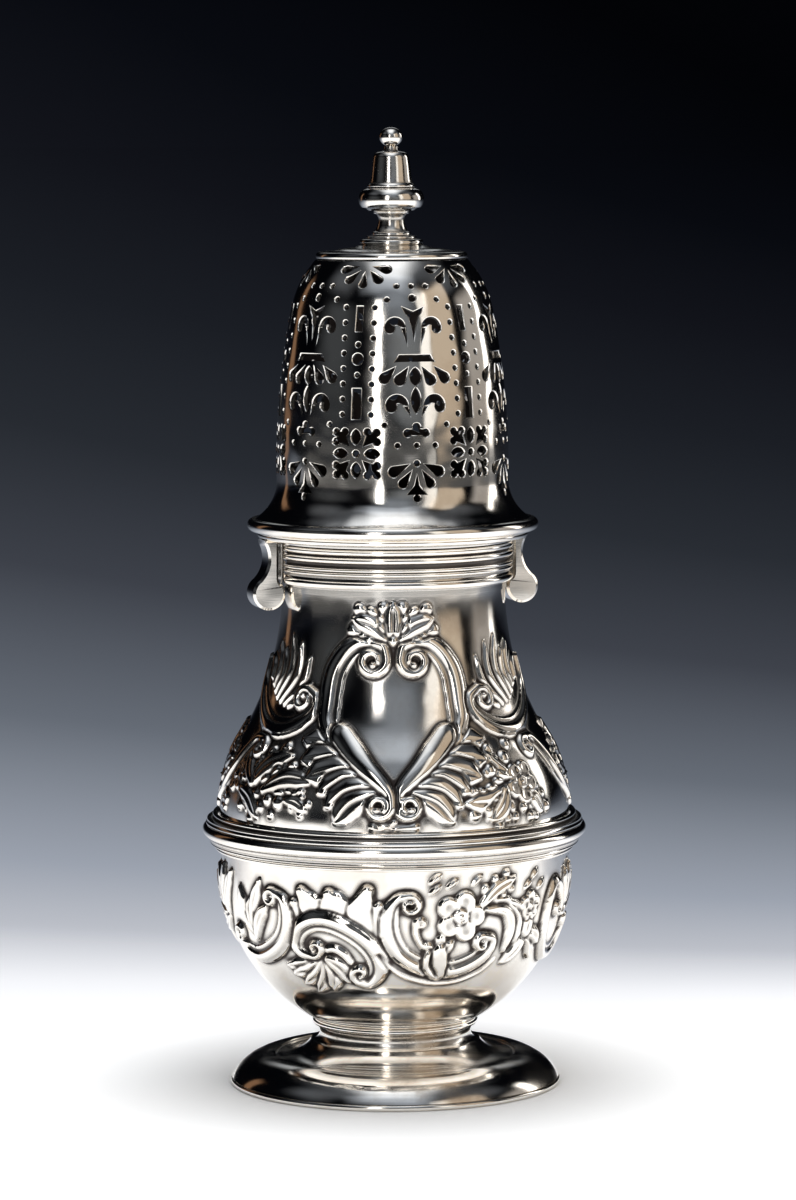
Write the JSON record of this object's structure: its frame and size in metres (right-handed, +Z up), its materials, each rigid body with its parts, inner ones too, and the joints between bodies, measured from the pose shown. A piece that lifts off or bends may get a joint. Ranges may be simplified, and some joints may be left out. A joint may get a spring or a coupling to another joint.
{
  "type": "sugar caster",
  "caption": "Silver sugar caster with a pear-shaped body on a spreading foot, and a pierced dome cover with a turned finial that two bayonet lugs hold on the neck.",
  "frame": {"origin": "centre of the foot, on the surface it stands on", "axes": "+Z up along the axis of the caster, -Y towards the viewer of the picture, +X to their right"},
  "size_m": [0.077, 0.077, 0.1914],
  "materials": {
    "silver": "polished sterling silver with tarnish in the recesses"
  },
  "bodies": {
    "body": {"foot": "silver", "foot_rim_wire": "silver", "stem_collar": "silver", "stem_ring": "silver", "bowl": "silver", "girdle": "silver", "upper_body": "silver", "neck_band": "silver", "bayonet_wire": "silver"},
    "bezel": {"cover_bezel": "silver"},
    "cover": {"seat_ring": "silver", "cover_flange": "silver", "cover_dome": "silver", "bayonet_lug_left": "silver", "bayonet_lug_right": "silver", "cap_plate": "silver", "finial_spool": "silver", "finial_bell": "silver", "finial_ball": "silver", "finial_peg": "silver"}
  },
  "joints": [
    {"name": "cover_lift", "type": "slide", "parent": "body", "child": "bezel", "axis": [0, 0, 1], "range_m": [0, 0.045]},
    {"name": "cover_twist", "type": "hinge", "parent": "bezel", "child": "cover", "pos_m": [0, 0, 0.1114], "axis": [0, 0, 1], "range_deg": [-90, 90]}
  ]
}
